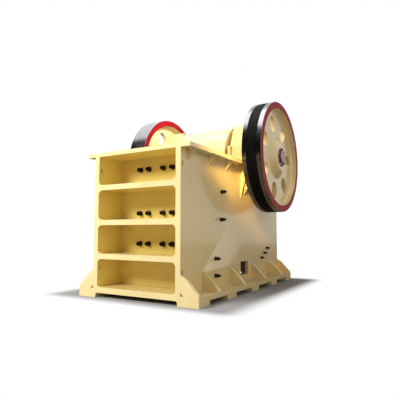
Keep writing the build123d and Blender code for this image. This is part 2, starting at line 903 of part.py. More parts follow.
with BuildPart() as cover:
    with BuildSketch(Plane.YZ.offset(housing_reach)):
        with Locations((axis_y, axis_z)):
            Circle(cover_radius)
    extrude(amount=cover_thickness)
    chamfer(cover.faces().sort_by(Axis.X)[-1].edges(), cover_chamfer)
    with BuildSketch(Plane.YZ.offset(housing_reach)):
        with Locations((axis_y, axis_z)):
            Circle(cover_neck_radius)
    extrude(amount=cover_thickness + cover_neck_length)
    with BuildSketch(Plane.YZ.offset(housing_reach)):
        with Locations((axis_y, axis_z)):
            Circle(journal_radius + moving_clearance)
    extrude(amount=cover_thickness + cover_neck_length, mode=Mode.SUBTRACT)
both_sides(cover.part, "bearing_cover")

# Bearing seats: a thick plate on each face of the wall with ribs under it, and two tall gussets outside
seat_ribs = (
    axis_y - housing_seat_half,
    axis_y - seat_rib_thickness / 2,
    axis_y + housing_seat_half - seat_rib_thickness,
)
with BuildPart() as bearing_seats:
    for wall_face, reach in ((half_width, housing_reach), (inner_half, housing_inner_reach)):
        with BuildSketch(Plane.XY.offset(housing_seat_height - seat_plate_thickness)):
            with Locations(((wall_face + reach) / 2, axis_y)):
                Rectangle(abs(reach - wall_face), 2 * housing_seat_half)
        extrude(amount=seat_plate_thickness)
        for place in seat_ribs:
            with BuildSketch(Plane.XZ.offset(-place)):
                with BuildLine():
                    Polyline(
                        (wall_face, housing_seat_height - seat_plate_thickness),
                        (reach, housing_seat_height - seat_plate_thickness),
                        (wall_face, housing_seat_height - seat_rib_drop),
                        close=True,
                    )
                make_face()
            extrude(amount=-seat_rib_thickness)
    for place in (axis_y - seat_gusset_half, axis_y + seat_gusset_half):
        with BuildSketch(Plane.XZ.offset(-place - top_gusset_thickness / 2)):
            with BuildLine():
                Polyline(*flange_gusset(seat_gusset_drop), close=True)
            make_face()
        extrude(amount=top_gusset_thickness)
both_sides(bearing_seats.part, "bearing_seat")

# Eccentric shaft, made as turned steps
shaft_half = wheel_outer + locking_ring_width + shaft_tip_reach
journal_end = housing_reach + cover_thickness + moving_clearance
with BuildPart() as shaft:
    with BuildSketch(Plane.YZ.offset(-shaft_half)):
        with Locations((axis_y, axis_z)):
            Circle(shaft_tip_radius)
    extrude(amount=2 * shaft_half)
    chamfer(shaft.edges().filter_by(GeomType.CIRCLE), shaft_tip_chamfer)
    with BuildSketch(Plane.YZ.offset(-wheel_outer)):
        with Locations((axis_y, axis_z)):
            Circle(wheel_seat_radius)
    extrude(amount=2 * wheel_outer)
    with BuildSketch(Plane.YZ.offset(-journal_end)):
        with Locations((axis_y, axis_z)):
            Circle(journal_radius)
    extrude(amount=2 * journal_end)
    with BuildSketch(Plane.YZ.offset(-barrel_half)):
        with Locations((axis_y, axis_z - eccentric_throw)):
            Circle(eccentric_radius)
    extrude(amount=2 * barrel_half)
save(shaft.part, "eccentric_shaft")

# Wheels: rim, dished web with holes, and a cone hub
web_outer = wheel_outer - web_recess
web_inner = web_outer - web_thickness
rim_inner_radius = wheel_radius - rim_thickness
groove_start = wheel_face + groove_edge_band


def wheel_section(grooved):
    """Half section of a wheel, as distances along the shaft and from its axis."""
    points = [
        (wheel_face, wheel_seat_radius + seat_clearance),
        (wheel_face, hub_back_radius),
        (web_inner, hub_root_radius),
        (web_inner, rim_inner_radius),
        (wheel_face, rim_inner_radius),
        (wheel_face, wheel_radius),
    ]
    if grooved:
        for number in range(groove_count):
            start = groove_start + number * groove_pitch
            middle = start + groove_pitch / 2
            points.append((start, wheel_radius))
            points.append((middle - groove_floor / 2, wheel_radius - groove_depth))
            points.append((middle + groove_floor / 2, wheel_radius - groove_depth))
        points.append((groove_start + groove_count * groove_pitch, wheel_radius))
    points.append((wheel_outer, wheel_radius))
    points.append((wheel_outer, rim_inner_radius))
    points.append((web_outer, rim_inner_radius))
    points.append((web_outer, hub_root_radius))
    points.append((wheel_outer, hub_nose_radius))
    points.append((wheel_outer, wheel_seat_radius + seat_clearance))
    return points


web_corners = [
    (web_inner, hub_root_radius),
    (web_inner, rim_inner_radius),
    (web_outer, rim_inner_radius),
    (web_outer, hub_root_radius),
]
rim_edges = [(wheel_face, wheel_radius), (wheel_outer, wheel_radius)]


def corners_at(sketch, places):
    """The sketch's own corners at the given places."""
    return [
        corner
        for corner in sketch.vertices()
        if any(abs(corner.X - x) + abs(corner.Y - y) < running_clearance for x, y in places)
    ]


def build_wheel(grooved):
    """A wheel on the right side of the machine."""
    section_plane = Plane(origin=(0, axis_y, axis_z), x_dir=(1, 0, 0), z_dir=(0, -1, 0))
    with BuildPart() as wheel:
        with BuildSketch(section_plane) as section:
            with BuildLine():
                Polyline(*wheel_section(grooved), close=True)
            make_face()
            chamfer(corners_at(section, web_corners), web_chamfer)
            chamfer(corners_at(section, [(wheel_outer, hub_nose_radius)]), hub_nose_chamfer)
            chamfer(corners_at(section, rim_edges), rim_chamfer)
        revolve(axis=Axis((0, axis_y, axis_z), (1, 0, 0)))
        hole_plane = Plane(origin=(web_inner, axis_y, axis_z), x_dir=(0, 1, 0), z_dir=(1, 0, 0))
        with BuildSketch(hole_plane):
            with PolarLocations(web_hole_circle, web_hole_count, start_angle=web_hole_phase):
                SlotCenterToCenter(web_hole_stretch, 2 * web_hole_radius)
        extrude(amount=web_thickness, mode=Mode.SUBTRACT)
    return wheel.part


save(build_wheel(True), "drive_pulley")
save(mirror(build_wheel(False), about=Plane.YZ), "flywheel")

with BuildPart() as locking_ring:
    with BuildSketch(Plane.YZ.offset(wheel_outer)):
        with Locations((axis_y, axis_z)):
            Circle(locking_ring_radius)
            Circle(shaft_tip_radius + seat_clearance, mode=Mode.SUBTRACT)
    extrude(amount=locking_ring_width)
both_sides(locking_ring.part, "locking_ring")
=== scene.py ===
import math
import random

import bmesh
import bpy
from mathutils import Matrix, Vector


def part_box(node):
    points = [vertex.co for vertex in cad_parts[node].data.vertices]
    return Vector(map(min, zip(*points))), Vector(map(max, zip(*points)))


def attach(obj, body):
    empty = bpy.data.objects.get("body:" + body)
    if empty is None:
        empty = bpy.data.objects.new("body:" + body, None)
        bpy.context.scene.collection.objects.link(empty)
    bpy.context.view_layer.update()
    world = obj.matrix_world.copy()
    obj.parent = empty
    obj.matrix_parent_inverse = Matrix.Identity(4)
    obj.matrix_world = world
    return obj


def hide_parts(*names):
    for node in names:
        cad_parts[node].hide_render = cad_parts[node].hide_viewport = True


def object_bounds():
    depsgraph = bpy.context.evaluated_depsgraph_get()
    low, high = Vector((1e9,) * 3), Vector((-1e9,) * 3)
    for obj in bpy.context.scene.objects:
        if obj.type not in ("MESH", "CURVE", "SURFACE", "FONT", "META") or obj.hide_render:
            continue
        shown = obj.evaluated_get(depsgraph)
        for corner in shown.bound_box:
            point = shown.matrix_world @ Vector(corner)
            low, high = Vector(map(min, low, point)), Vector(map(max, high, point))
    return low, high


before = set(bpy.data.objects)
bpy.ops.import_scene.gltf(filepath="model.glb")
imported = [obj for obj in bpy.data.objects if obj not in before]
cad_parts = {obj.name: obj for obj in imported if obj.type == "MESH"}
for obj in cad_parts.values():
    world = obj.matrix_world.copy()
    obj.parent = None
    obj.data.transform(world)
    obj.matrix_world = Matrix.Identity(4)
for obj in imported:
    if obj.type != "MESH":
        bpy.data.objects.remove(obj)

cad_low, cad_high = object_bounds()

# Camera, as fitted to the edges of the crusher
camera_place = (4.0612, -6.8792, 1.0865)
camera_azimuth = 30.62
camera_rise = 4.48
camera_focal_pixels = 396.3
picture_pixels = 400
sensor_width = 36.0

# Places on the frame, in metres
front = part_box("side_wall_right")[0].y
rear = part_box("side_wall_right")[1].y
outer_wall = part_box("side_wall_right")[1].x
wall_thickness = 0.088
inner_wall = outer_wall - wall_thickness
back_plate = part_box("front_wall")[0].y
chamber_start = back_plate + 0.08
chamber_end = rear - 0.40
chamber_top = 2.2
pocket_top = 2.38

# The window in each side wall, as low and high Y and Z, and how far its reveal keeps the wall's colour before
# the painted shade deeper in
window_y = (0.025, 0.378)
window_z = (0.255, 0.511)
reveal_before_painted_shade = 0.060

# Welds, and how far edges are rounded
weld_width = 0.010
plate_round = 0.005
casting_round = 0.012
body_round = 0.010
jaw_round = 0.008
cover_round = 0.006
sheet_round = 0.004
ring_round = 0.003
shim_round = 0.002

# Wheels, and the shaft's axis through the middle of them
wheel_low, wheel_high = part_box("drive_pulley")
axis_y = (wheel_low.y + wheel_high.y) / 2
axis_z = (wheel_low.z + wheel_high.z) / 2
wheel_face = wheel_low.x
wheel_outer = wheel_high.x
wheel_radius = (wheel_high.z - wheel_low.z) / 2
rim_thickness = 0.127
web_setback = 0.110
web_thickness = 0.100
rim_inner = wheel_radius - rim_thickness
web_outer = wheel_outer - web_setback
web_inner = web_outer - web_thickness
hub_root = 0.420
hub_nose = 0.262
hub_back = 0.330
wheel_bore = 0.1652
wheel_steps = 144
web_fillet = 0.040
hub_fillet = 0.026
rim_round = 0.005
hole_count = 7
hole_circle = 0.670
hole_radius = 0.132
hole_stretch = 0.060
hole_phase = 104
hole_round = 0.010
hole_cut = web_inner / 4
hole_steps = 50
groove_band = 0.078
groove_start = wheel_face + groove_band
groove_count = 8
groove_pitch = 0.0255
groove_depth = 0.022
groove_floor = 0.007
groove_crest = 0.004

# Locking rings and the shaft's ends
ring_width = 0.012
ring_radius = 0.188
ring_steps = 96
tip_radius = 0.1222
ring_screw_circle = 0.155
ring_screw_count = 8

# Nuts and threads
nut_turn = 23
nut_round_share = 0.12
thread_pitch = 0.006
thread_root_share = 0.93
thread_end_share = 0.85

# Bolts: places are X, Y and Z, or Y and Z on a side wall
jaw_bolt_columns = (-0.338, -0.152, 0.152, 0.338)
jaw_bolt_rows = (2.150, 1.390, 0.870)
cheek_bolt_places = ((1.293, 1.769), (1.270, 1.286), (1.065, 0.626), (1.063, 0.344))
rail_bolt_places = ((3.416, 0.721), (3.259, 0.622), (3.096, 0.529))
housing_bolt_places = ((0.787, 2.846), (0.847, 2.839), (0.833, 2.995))
housing_shoulder = 0.440
housing_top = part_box("bearing_housing_right")[1].z
cap_bolt_reach = 0.120
cap_bolt_columns = (0.735, 0.925)
cover_neck = 0.018
cover_screw_circle = 0.345
cover_screw_count = 12
guard_radius = 0.700
guard_bolt_column = 0.550
guard_bolt_angles = (52, 78, 104, 130, 156, 180)

# Tension rod and its spring: the rod's line runs from its eye through the middle of the spring
rod_low, rod_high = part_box("tension_rod")
spring_low, spring_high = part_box("tension_spring")
rod_eye_y = rod_low.y + 0.075
rod_eye_z = 0.205
rod_slope = math.atan2(spring_high.z + spring_low.z - 2 * rod_eye_z,
                       spring_high.y + spring_low.y - 2 * rod_eye_y)
rod_line = Vector((0, math.cos(rod_slope), math.sin(rod_slope)))
rod_radius = 0.038
rod_nut_length = 0.040
spring_wire = 0.012
spring_coil = 0.083
spring_turns = 3.5
spring_rise = 0.056
spring_steps_a_turn = 40
wire_sides = 14

# Paint and metal colours, linear
cream = (0.84, 0.67, 0.325)
# Painted bounce light: a deeper, brighter gold than the cream paint, for the pockets behind the front ribs
painted_light_gold = (0.96, 0.75, 0.21)
housing_yellow = (0.86, 0.69, 0.235)
cream_dust = (0.38, 0.29, 0.19)
# Painted shade: dark brown for the deep part of the window reveals and the frame's faces round the crushing
# chamber
painted_shade_brown = (0.17, 0.125, 0.075)
ring_red = (0.33, 0.007, 0.012)
steel_grey = (0.62, 0.62, 0.63)
# Painted dark reflection: the belt wheel's rim steel is far darker than the other turned steel
rim_painted_dark_grey = (0.20, 0.20, 0.21)
shaft_end = (0.30, 0.13, 0.15)
ring_brown = (0.16, 0.012, 0.020)
groove_black = (0.012, 0.012, 0.013)
bolt_black = (0.010, 0.009, 0.009)
manganese = (0.16, 0.15, 0.14)
floor_grey = (0.30, 0.30, 0.30)
studio_white = (1.0, 0.97, 0.92)
ground_dark = (0.05, 0.047, 0.043)
yard_dark = (0.02, 0.02, 0.02)

# Shares of a paint's own colour
weld_share = 0.88
shade_share = 0.84
dirt_share = 0.7
rust_share = 0.6

# Stage: the floor, how far from the machine it stays grey before it turns white, a painted shadow halo round
# its real shadow, and the dark yard that the rims mirror
floor_half = 60
painted_shadow_reach = (0.42, 0.38, 1.0)
studio_strength = 0.28
ground_size = 50
yard_height = 13.0
yard_width = 16


def adder(tree):
    """A function that adds a node to a tree and sets its properties."""
    def add(kind, **values):
        node = tree.nodes.new(kind)
        for name, value in values.items():
            setattr(node, name, value)
        return node

    return add


def shader(material):
    """The material's node tree, its Principled shader and a function that adds nodes to it."""
    tree = material.node_tree
    return tree, tree.nodes["Principled BSDF"], adder(tree)


def plain_material(name, colour, roughness, metallic, specular=0.5):
    """A Principled material with its steady values set on the shader."""
    material = bpy.data.materials.new(name)
    material.use_nodes = True
    tree, principled, add = shader(material)
    principled.inputs["Base Color"].default_value = (*colour, 1)
    principled.inputs["Roughness"].default_value = roughness
    principled.inputs["Metallic"].default_value = metallic
    principled.inputs["Specular IOR Level"].default_value = specular
    return material


def noise(tree, add, scale, detail, vector, roughness=0.5):
    """A noise texture on a vector, and its output."""
    texture = add("ShaderNodeTexNoise")
    texture.inputs["Scale"].default_value = scale
    texture.inputs["Detail"].default_value = detail
    texture.inputs["Roughness"].default_value = roughness
    tree.links.new(vector, texture.inputs["Vector"])
    return texture.outputs["Fac"]


def ranged(tree, add, value, low, high, to_low, to_high):
    """A value taken from one range to another."""
    node = add("ShaderNodeMapRange")
    node.inputs["From Min"].default_value = low
    node.inputs["From Max"].default_value = high
    node.inputs["To Min"].default_value = to_low
    node.inputs["To Max"].default_value = to_high
    tree.links.new(value, node.inputs["Value"])
    return node.outputs["Result"]


def darker(colour, share):
    """A share of a colour."""
    return tuple(share * part for part in colour)


def summed(tree, add, *values):
    """Outputs added together, up to one."""
    total = values[0]
    for value in values[1:]:
        node = add("ShaderNodeMath", operation="ADD", use_clamp=True)
        tree.links.new(total, node.inputs[0])
        tree.links.new(value, node.inputs[1])
        total = node.outputs[0]
    return total


def multiplied(tree, add, first, second):
    """Two outputs multiplied."""
    node = add("ShaderNodeMath", operation="MULTIPLY")
    tree.links.new(first, node.inputs[0])
    tree.links.new(second, node.inputs[1])
    return node.outputs[0]


def mixed(tree, add, factor, first, second):
    """Two colours mixed by a factor; each is a colour or an output."""
    node = add("ShaderNodeMix", data_type="RGBA")
    for socket, value in ((node.inputs[6], first), (node.inputs[7], second)):
        if isinstance(value, tuple):
            socket.default_value = (*value, 1)
        else:
            tree.links.new(value, socket)
    tree.links.new(factor, node.inputs[0])
    return node.outputs[2]


def bumped(tree, add, layers):
    """Bump nodes in a row: each layer is a height, its distance and its strength."""
    normal = None
    for height, distance, strength in layers:
        bump = add("ShaderNodeBump")
        bump.inputs["Distance"].default_value = distance
        bump.inputs["Strength"].default_value = strength
        tree.links.new(height, bump.inputs["Height"])
        if normal is not None:
            tree.links.new(normal, bump.inputs["Normal"])
        normal = bump.outputs["Normal"]
    return normal


def painted(name, colour, dust, roughness, beads=False, coat=0.55, specular=0.5):
    """Thick glossy machine paint: orange peel, waves of the plate, streaks, dust on level faces, weld beads."""
    material = plain_material(name, colour, roughness, 0.0, specular)
    tree, principled, add = shader(material)
    place = add("ShaderNodeTexCoord").outputs["Object"]
    patches = noise(tree, add, 1.7, 4.0, place)
    grain = noise(tree, add, 11.0, 5.0, place)
    normal = add("ShaderNodeNewGeometry").outputs["Normal"]
    split = add("ShaderNodeSeparateXYZ")
    tree.links.new(normal, split.inputs[0])
    level = ranged(tree, add, split.outputs["Z"], 0.6, 0.97, 0.0, 0.95)
    dusty = multiplied(tree, add, level, grain)
    drawn_out = add("ShaderNodeMapping")
    drawn_out.inputs["Scale"].default_value = (1, 1, 0.07)
    tree.links.new(place, drawn_out.inputs["Vector"])
    streaks = noise(tree, add, 5.0, 4.0, drawn_out.outputs[0])
    shade = summed(tree, add, ranged(tree, add, patches, 0.3, 0.7, 0.0, 0.55),
                   ranged(tree, add, streaks, 0.5, 0.8, 0.0, 0.3))
    toned = mixed(tree, add, shade, colour, darker(colour, shade_share))
    tree.links.new(mixed(tree, add, dusty, toned, dust), principled.inputs["Base Color"])
    tree.links.new(ranged(tree, add, grain, 0.3, 0.7, roughness - 0.05, roughness + 0.08),
                   principled.inputs["Roughness"])
    peel = noise(tree, add, 150.0, 2.0, place)
    waves = noise(tree, add, 2.6, 1.0, place)
    layers = [(waves, 0.012, 0.35), (peel, 0.0006, 0.22)]
    if beads:
        ripples = noise(tree, add, 70.0, 1.0, place)
        layers.append((ripples, 0.008, 1.0))
    tree.links.new(bumped(tree, add, layers), principled.inputs["Normal"])
    principled.inputs["Coat Weight"].default_value = coat
    principled.inputs["Coat Roughness"].default_value = 0.09
    principled.inputs["Coat IOR"].default_value = 1.5
    return material


def turned(name, colour, roughness, metallic, strength, specular=0.5):
    """Machined metal: fine rings round the shaft's axis, with slow changes of gloss."""
    material = plain_material(name, colour, roughness, metallic, specular)
    tree, principled, add = shader(material)
    place = add("ShaderNodeTexCoord").outputs["Object"]
    centred = add("ShaderNodeMapping")
    centred.inputs["Location"].default_value = (0, -axis_y, -axis_z)
    tree.links.new(place, centred.inputs["Vector"])
    split = add("ShaderNodeSeparateXYZ")
    tree.links.new(centred.outputs[0], split.inputs[0])
    radius = add("ShaderNodeVectorMath", operation="LENGTH")
    flat = add("ShaderNodeCombineXYZ")
    tree.links.new(split.outputs["Y"], flat.inputs["Y"])
    tree.links.new(split.outputs["Z"], flat.inputs["Z"])
    tree.links.new(flat.outputs[0], radius.inputs[0])
    rings = add("ShaderNodeCombineXYZ")
    tree.links.new(split.outputs["X"], rings.inputs["X"])
    tree.links.new(radius.outputs["Value"], rings.inputs["Y"])
    lines = noise(tree, add, 420.0, 3.0, rings.outputs[0])
    clouds = noise(tree, add, 6.0, 4.0, place)
    tree.links.new(ranged(tree, add, clouds, 0.3, 0.7, roughness - 0.05, roughness + 0.10),
                   principled.inputs["Roughness"])
    tree.links.new(bumped(tree, add, ((lines, 0.0004, strength),)), principled.inputs["Normal"])
    tone = ranged(tree, add, clouds, 0.25, 0.75, 0.0, 0.35)
    tree.links.new(mixed(tree, add, tone, colour, darker(colour, 0.72)), principled.inputs["Base Color"])
    return material


def cast(name, colour, roughness, metallic):
    """A rough casting or dark bolt: grainy skin with rubbed and dirty patches."""
    material = plain_material(name, colour, roughness, metallic)
    tree, principled, add = shader(material)
    place = add("ShaderNodeTexCoord").outputs["Object"]
    pits = noise(tree, add, 160.0, 4.0, place)
    clouds = noise(tree, add, 9.0, 5.0, place)
    tone = ranged(tree, add, clouds, 0.3, 0.7, 0.0, 0.6)
    tree.links.new(mixed(tree, add, tone, colour, darker(colour, rust_share)),
                   principled.inputs["Base Color"])
    tree.links.new(ranged(tree, add, clouds, 0.3, 0.7, roughness - 0.06, roughness + 0.1),
                   principled.inputs["Roughness"])
    tree.links.new(bumped(tree, add, ((pits, 0.0015, 0.35),)), principled.inputs["Normal"])
    return material


cream_paint = painted("cream_paint", cream, cream_dust, 0.34)
weld_paint = painted("weld_paint", darker(cream, weld_share), cream_dust, 0.40, beads=True)
housing_paint = painted("housing_paint", housing_yellow, cream_dust, 0.34)
# Painted bounce light: the gold paint and gold weld for the pockets behind the front ribs
pocket_painted_light = painted("pocket_painted_light", painted_light_gold, cream_dust, 0.34)
pocket_weld_painted_light = painted("pocket_weld_painted_light", darker(painted_light_gold, weld_share), cream_dust, 0.40, beads=True)
# Painted shade: the dark brown stands in for the shade inside the window reveals and round the crushing chamber
painted_shade_paint = painted("painted_shade_paint", painted_shade_brown, darker(painted_shade_brown, dirt_share), 0.55)
ring_paint = painted("ring_paint", ring_red, darker(ring_red, rust_share), 0.40, coat=0.0, specular=0.06)
brown_paint = painted("brown_paint", ring_brown, darker(ring_brown, dirt_share), 0.36)
turned_steel = turned("turned_steel", steel_grey, 0.20, 1.0, 0.25)
# Painted dark reflection: darker turned steel for the belt wheel's rim, standing in for the dark surroundings
# it mirrors
rim_painted_dark_steel = turned("rim_painted_dark_steel", rim_painted_dark_grey, 0.20, 1.0, 0.25)
tip_steel = turned("tip_steel", shaft_end, 0.30, 0.8, 0.25)
groove_steel = turned("groove_steel", groove_black, 0.42, 0.0, 0.2, specular=0.3)
black_bolts = cast("black_bolts", bolt_black, 0.42, 0.5)
manganese_steel = cast("manganese_steel", manganese, 0.5, 0.75)


def settled(bm):
    """The same shape with its points and faces in a fixed order, which bmesh.ops leaves to chance."""
    order = sorted(bm.verts, key=lambda vertex: tuple(vertex.co))
    for number, vertex in enumerate(order):
        vertex.index = number
    loops = []
    for face in bm.faces:
        loop = [vertex.index for vertex in face.verts]
        start = loop.index(min(loop))
        loops.append((loop[start:] + loop[:start], face.material_index))
    fixed = bmesh.new()
    points = [fixed.verts.new(vertex.co) for vertex in order]
    for loop, material_index in sorted(loops):
        fixed.faces.new([points[number] for number in loop]).material_index = material_index
    bm.free()
    fixed.normal_update()
    return fixed


def finished(bm, name, body, materials, nodes=(), smooth_angle=32):
    """Turn a bmesh into a piece that rides on a body, smooth except over sharp edges."""
    bm = settled(bm)
    mesh = bpy.data.meshes.new(name)
    bm.to_mesh(mesh)
    bm.free()
    for material in materials:
        mesh.materials.append(material)
    mesh.polygons.foreach_set("use_smooth", [True] * len(mesh.polygons))
    mesh.set_sharp_from_angle(angle=math.radians(smooth_angle))
    piece = bpy.data.objects.new(name, mesh)
    bpy.context.collection.objects.link(piece)
    flat_shading = piece.modifiers.new("flat_shading", "WEIGHTED_NORMAL")
    flat_shading.keep_sharp = True
    flat_shading.weight = 60
    if nodes:
        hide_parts(*nodes)
    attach(piece, body)
    return piece


def node_copy(node):
    """A bmesh of a CAD node, its loose triangles merged."""
    bm = bmesh.new()
    bm.from_mesh(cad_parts[node].data)
    for vertex in bm.verts:
        vertex.co = Vector(round(value, 5) for value in vertex.co)
    bmesh.ops.remove_doubles(bm, verts=bm.verts, dist=0.00002)
    return bm


def combined(shapes, operation):
    """One bmesh from several, by an exact union or by cutting the others from the first."""
    operands = bpy.data.collections.new("operands")
    objects = []
    for shape in shapes:
        mesh = bpy.data.meshes.new("operand")
        shape.to_mesh(mesh)
        shape.free()
        objects.append(bpy.data.objects.new("operand", mesh))
    bpy.context.collection.objects.link(objects[0])
    for other in objects[1:]:
        operands.objects.link(other)
    modifier = objects[0].modifiers.new(operation.lower(), "BOOLEAN")
    modifier.operation = operation
    modifier.solver = "EXACT"
    modifier.operand_type = "COLLECTION"
    modifier.collection = operands
    modifier.use_self = operation == "UNION"
    bpy.context.view_layer.update()
    whole = bpy.data.meshes.new_from_object(objects[0].evaluated_get(bpy.context.evaluated_depsgraph_get()))
    bm = bmesh.new()
    bm.from_mesh(whole)
    for other in objects:
        bpy.data.objects.remove(other)
    bpy.data.collections.remove(operands)
    bmesh.ops.remove_doubles(bm, verts=bm.verts, dist=0.00005)
    return bm


def join_flat(bm):
    """Join faces that lie flat together, and drop points on straight edges."""
    bmesh.ops.dissolve_limit(bm, angle_limit=math.radians(0.4), verts=bm.verts, edges=bm.edges,
                             delimit={"MATERIAL"})


def rounded(bm, edges, width, segments):
    """Round edges and return the new faces."""
    result = bmesh.ops.bevel(bm, geom=edges, offset=width, offset_type="OFFSET", segments=segments,
                             affect="EDGES", profile=0.5, material=-1, clamp_overlap=True)
    return result["faces"]


def sharp_edges(bm, angle=28):
    """Edges whose two faces turn by more than an angle."""
    limit = math.radians(angle)
    return [e for e in bm.edges if len(e.link_faces) == 2 and e.calc_face_angle(0) > limit]


def softened(name, nodes, width, material, body="frame", segments=2, sharp=28):
    """A piece that stands for CAD nodes, fused and with its edges rounded."""
    shapes = [node_copy(node) for node in nodes]
    bm = combined(shapes, "UNION") if len(shapes) > 1 else shapes[0]
    join_flat(bm)
    rounded(bm, sharp_edges(bm, sharp), width, segments)
    return finished(bm, name, body, [material], nodes)


def sides(*names):
    """The right and left node of each name."""
    return [f"{name}_{side}" for name in names for side in ("right", "left")]


def spun(section, steps, centre, axis):
    """A closed section turned once round an axis. The section is a list of points."""
    bm = bmesh.new()
    ring = [bm.verts.new(point) for point in section]
    edges = [bm.edges.new(pair) for pair in zip(ring, ring[1:] + ring[:1])]
    bmesh.ops.spin(bm, geom=ring + edges, cent=centre, axis=axis, angle=2 * math.pi, steps=steps,
                   use_merge=True)
    bmesh.ops.remove_doubles(bm, verts=bm.verts, dist=0.00001)
    bmesh.ops.recalc_face_normals(bm, faces=bm.faces)
    return settled(bm)


def in_window(middle):
    """Whether a point lies in the window of a side wall, seen from the side."""
    return window_y[0] < middle.y < window_y[1] and window_z[0] < middle.z < window_z[1]


# The welded frame, one painted skin with a weld in every inner corner
frame_plates = sides("side_wall", "top_flange", "top_gussets", "base_flange", "base_gussets", "feet")
frame_plates += sides("bearing_seat")
frame_plates += ["front_wall", "front_rib_lower", "front_rib_middle", "front_rib_upper"]
frame_plates += ["bottom_plate", "top_plate"]
frame_plates += ["rear_wall", "rear_ribs", "rear_sill"]
bm = combined([node_copy(node) for node in frame_plates], "UNION")
join_flat(bm)
inner_corners = [e for e in sharp_edges(bm, 50) if not e.is_convex]
for face in rounded(bm, inner_corners, weld_width, 1):
    face.material_index = 1
rounded(bm, [e for e in sharp_edges(bm, 50) if e.is_convex], plate_round, 2)
# Split each window reveal where its painted shade begins
for side in (1, -1):
    reveal = [
        f for f in bm.faces
        if inner_wall < side * f.calc_center_median().x < outer_wall - 0.01
        and abs(f.normal.x) < 0.1 and in_window(f.calc_center_median())
    ]
    around = list(dict.fromkeys([e for f in reveal for e in f.edges] + [v for f in reveal for v in f.verts]))
    bmesh.ops.bisect_plane(bm, geom=reveal + around, dist=0.0001,
                           plane_co=(side * (outer_wall - reveal_before_painted_shade), 0, 0), plane_no=(1, 0, 0))
for face in bm.faces:
    middle = face.calc_center_median()
    between_walls = abs(middle.x) < inner_wall + 0.001
    # Painted shade: the deep part of each window reveal and the frame round the crushing chamber take the dark
    # brown
    if abs(middle.x) < outer_wall - reveal_before_painted_shade and in_window(middle):
        face.material_index = 2
    elif between_walls and chamber_start < middle.y < chamber_end and middle.z < chamber_top:
        face.material_index = 2
    # Painted bounce light: faces in the pockets behind the front ribs take the gold paint, their welds the gold
    # weld
    elif between_walls and front + plate_round < middle.y < back_plate + 0.001 and middle.z < pocket_top:
        face.material_index = 4 if face.material_index == 1 else 3
finished(bm, "welded_frame", "frame", [cream_paint, weld_paint, painted_shade_paint, pocket_painted_light, pocket_weld_painted_light],
         frame_plates)

for side in ("right", "left"):
    softened(f"housing_{side}", [f"bearing_housing_{side}"], casting_round, housing_paint)
    softened(f"cover_{side}", [f"bearing_cover_{side}"], cover_round, housing_paint)
    softened(f"slide_rail_{side}", [f"guide_rail_{side}"], plate_round, cream_paint)
    for level in ("upper", "lower"):
        softened(f"cheek_plate_{level}_{side}", [f"cheek_{level}_{side}"], plate_round, manganese_steel)
for name in ("fixed_jaw_upper", "fixed_jaw_lower", "moving_jaw_upper", "moving_jaw_lower"):
    softened(name + "_plate", [name], jaw_round, manganese_steel)
softened("jaw_body", ["pitman"], body_round, cream_paint)
softened("guard_sheet", ["pitman_guard"], sheet_round, cream_paint)
softened("toggle_cross_beam", ["toggle_beam"], casting_round, cream_paint)
softened("anchor_block", ["rear_anchor"], body_round, cream_paint)
softened("toggle_seats", ["toggle_seat_front", "toggle_seat_rear"], cover_round, manganese_steel)
softened("toggle", ["toggle_plate"], cover_round, cream_paint)
softened("shims", ["shim_pack"], shim_round, turned_steel)
softened("spring_seats", ["spring_washers"], sheet_round, turned_steel, sharp=50)
softened("pull_rod", ["tension_rod"], sheet_round, turned_steel, sharp=50)
softened("main_shaft", ["eccentric_shaft"], sheet_round, tip_steel, "rotor", sharp=50)

# The spring's round wire, wound round the rod
bm = bmesh.new()
spring_start = (spring_low + spring_high) / 2 - rod_line * spring_turns * spring_rise / 2
bmesh.ops.create_circle(bm, segments=wire_sides, radius=spring_wire)
across = Vector((1, 0, 0))
turn = Matrix((across, rod_line, across.cross(rod_line))).transposed().to_4x4()
bmesh.ops.transform(bm, matrix=Matrix.Translation(spring_start + across * spring_coil) @ turn,
                    verts=bm.verts)
first_end = bm.edges[:]
steps = round(spring_turns * spring_steps_a_turn)
bmesh.ops.spin(bm, geom=bm.verts[:] + first_end, cent=spring_start, axis=rod_line,
               dvec=rod_line * spring_turns * spring_rise / steps, angle=spring_turns * 2 * math.pi,
               steps=steps)
bmesh.ops.holes_fill(bm, edges=[e for e in bm.edges if len(e.link_faces) == 1], sides=wire_sides)
bmesh.ops.recalc_face_normals(bm, faces=bm.faces)
finished(bm, "coil_spring", "frame", [turned_steel], ["tension_spring"], smooth_angle=60)


def wheel_outline(grooved):
    """Half section of a wheel as X and radius pairs."""
    outline = [(wheel_face, wheel_bore), (wheel_face, hub_back), (web_inner, hub_root)]
    outline += [(web_inner, rim_inner), (wheel_face, rim_inner), (wheel_face, wheel_radius)]
    for number in range(groove_count if grooved else 0):
        start = groove_start + number * groove_pitch
        outline += [
            (start + groove_crest / 2, wheel_radius),
            (start + (groove_pitch - groove_floor) / 2, wheel_radius - groove_depth),
            (start + (groove_pitch + groove_floor) / 2, wheel_radius - groove_depth),
            (start + groove_pitch - groove_crest / 2, wheel_radius),
        ]
    outline += [(wheel_outer, wheel_radius), (wheel_outer, rim_inner), (web_outer, rim_inner)]
    outline += [(web_outer, hub_root), (wheel_outer, hub_nose), (wheel_outer, wheel_bore)]
    return outline


def from_axis(point):
    """How far a point is from the shaft's axis."""
    return math.hypot(point.y - axis_y, point.z - axis_z)


